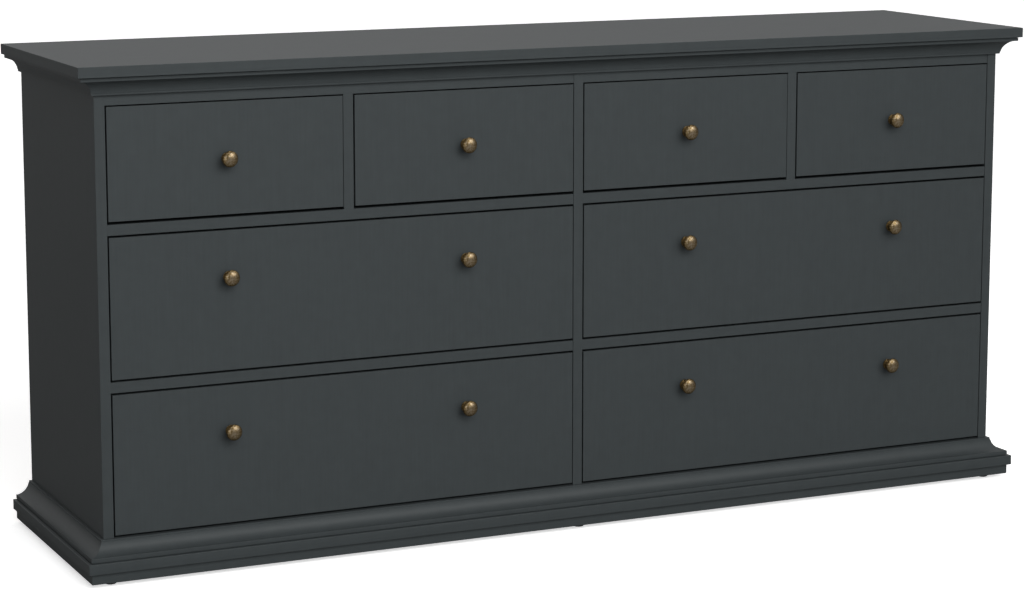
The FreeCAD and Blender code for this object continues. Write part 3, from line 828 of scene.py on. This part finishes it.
def build_runners(prefix, body):
    """Channels with stops and glides on the cabinet, and rails with heels on the drawer."""
    low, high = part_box(f"{prefix}_box")
    space = 12.5 * MM
    walls = ((1, low.x - space), (-1, high.x + space))
    glide = 20 * MM
    stop = low.y + 72 * MM
    stop_depth = 7.5 * MM
    runners = [f"{prefix}_runners"]
    bm = bars(CHANNEL_SECTION, walls, low.z, low.y, high.y)
    make_piece(f"{prefix}_channels", bm, coated_steel, CARCASS, ["cabinet_runners"])
    bm = bars(STOP_SECTION, walls, low.z, stop, stop + stop_depth)
    make_piece(f"{prefix}_stops", bm, coated_steel, CARCASS, ["cabinet_runners"])
    bm = bars(GLIDE_SECTION, walls, low.z, low.y, low.y + glide)
    make_piece(f"{prefix}_glides", bm, nylon, CARCASS, ["runner_glides"], bevel=0.4)
    bm = bars(RAIL_SECTION, walls, low.z, low.y, high.y)
    make_piece(f"{prefix}_rails", bm, coated_steel, body, runners)
    bm = bars(HEEL_SECTION, walls, low.z, high.y - glide, high.y)
    make_piece(f"{prefix}_heels", bm, nylon, body, runners, bevel=0.4)
    screws = bmesh.new()
    web = 11.3 * MM
    screw_height = 9.5 * MM
    for hand, wall in walls:
        for along in RAIL_SCREWS:
            place = facing((-hand, 0, 0), (wall + hand * web, low.y + along * MM, low.z + screw_height))
            cross_head(screws, place, radius=3.3, low=-0.6, top=0.35, arm=2.2, width=0.8, recess=0.7)
    make_piece(f"{prefix}_rail_screws", screws, zinc, body)


def build_drawers():
    """Every drawer, the wide ones with two knobs."""
    for prefix in DRAWERS:
        body = f"drawer_{prefix}"
        dress_node(f"{prefix}_front", front_foil, 0.25)
        dress_node(f"{prefix}_bottom", bottom_paint, 0.3)
        build_box(prefix, body)
        build_knobs(prefix, body)
        build_runners(prefix, body)


# ---------------------------------------------------------------- stage, light, camera

def build_floor():
    """A wide floor under the object."""
    bm = bmesh.new()
    reach = 30.0
    corners = [(-reach, -reach, 0), (reach, -reach, 0), (reach, reach, 0), (-reach, reach, 0)]
    bm.faces.new([bm.verts.new(corner) for corner in corners])
    mesh = bpy.data.meshes.new("floor")
    bm.to_mesh(mesh)
    bm.free()
    mesh.materials.append(stage_floor())
    floor = bpy.data.objects.new("floor", mesh)
    bpy.context.scene.collection.objects.link(floor)


def camera_choice(tree, plain, seen):
    """A shader that the camera sees as one thing and every other ray as another."""
    choose = tree.nodes.new("ShaderNodeMixShader")
    path = tree.nodes.new("ShaderNodeLightPath")
    tree.links.new(path.outputs["Is Camera Ray"], choose.inputs[0])
    tree.links.new(plain, choose.inputs[1])
    tree.links.new(seen, choose.inputs[2])
    return choose.outputs[0]


def aim(lamp, towards):
    """Turn a lamp so that it shines from the direction towards."""
    lamp.rotation_euler = Vector(towards).to_track_quat("Z", "Y").to_euler()
    bpy.context.scene.collection.objects.link(lamp)


def soft_panel(name, size, energy, location, target):
    """A rectangular soft light that shines at a point."""
    panel = bpy.data.lights.new(name, "AREA")
    panel.shape = "RECTANGLE"
    panel.size, panel.size_y = size
    panel.energy = energy
    lamp = bpy.data.objects.new(name, panel)
    lamp.location = location
    aim(lamp, Vector(location) - Vector(target))
    return lamp


def build_light():
    """Soft light from the front, above and the right, panels for reflections, and a bright surround."""
    sun = bpy.data.lights.new("broad", "SUN")
    sun.energy = 2.46
    sun.angle = math.radians(60)
    broad = bpy.data.objects.new("broad", sun)
    aim(broad, (0.25, -0.92, 0.30))
    broad.visible_glossy = False
    fill = soft_panel("fill", (2.6, 1.4), 37, (-0.6, -2.4, 2.2), (0, -0.2, 0.6))
    fill.visible_glossy = False
    soft_panel("side", (1.4, 1.8), 28, (3.6, 0.9, 1.3), (0.9, 0.0, 0.45))
    sheen = soft_panel("sheen", (3.4, 1.1), 96, (0.8, -2.6, 3.0), (0, -0.2, 0.5))
    rim = soft_panel("rim", (1.2, 1.8), 30, (-3.6, -2.2, 1.3), (0, -0.2, 0.5))
    for panel in (sheen, rim):
        panel.visible_diffuse = False
    world = bpy.data.worlds.new("surround")
    world.use_nodes = True
    tree = world.node_tree
    direction = tree.nodes.new("ShaderNodeTexCoord")
    towards = tree.nodes.new("ShaderNodeVectorMath")
    towards.operation = "DOT_PRODUCT"
    towards.inputs[1].default_value = Vector((0.0, 0.95, 0.30)).normalized()
    strength = tree.nodes.new("ShaderNodeMapRange")
    for socket, value in (("From Min", 0.20), ("From Max", 0.95), ("To Min", 0.13), ("To Max", 0.83)):
        strength.inputs[socket].default_value = value
    tree.links.new(direction.outputs["Generated"], towards.inputs[0])
    tree.links.new(towards.outputs["Value"], strength.inputs["Value"])
    light = tree.nodes["Background"]
    light.inputs["Color"].default_value = (1.0, 1.0, 1.0, 1.0)
    tree.links.new(strength.outputs["Result"], light.inputs["Strength"])
    seen = tree.nodes.new("ShaderNodeBackground")
    seen.inputs["Color"].default_value = (1.0, 1.0, 1.0, 1.0)
    surface = camera_choice(tree, light.outputs[0], seen.outputs[0])
    tree.links.new(surface, tree.nodes["World Output"].inputs["Surface"])
    bpy.context.scene.world = world
    bpy.context.scene.view_settings.view_transform = "Standard"


def build_camera():
    """A long lens from the front left, a little above the top board."""
    lens = bpy.data.cameras.new("camera")
    lens.sensor_width = 36.0
    lens.lens = 97.06
    lens.shift_y = -0.08
    lens.clip_end = 200.0
    camera = bpy.data.objects.new("camera", lens)
    camera.location = (-2.1448, -4.5299, 1.2969)
    pitch = math.radians(90 - 8.638)
    heading = math.radians(-24.99)
    camera.rotation_euler = Euler((pitch, 0, heading))
    bpy.context.scene.collection.objects.link(camera)
    bpy.context.scene.camera = camera


dress_boards()
build_courses()
build_back()
build_cams()
build_floor_glides()
build_drawers()
build_floor()
build_light()
build_camera()
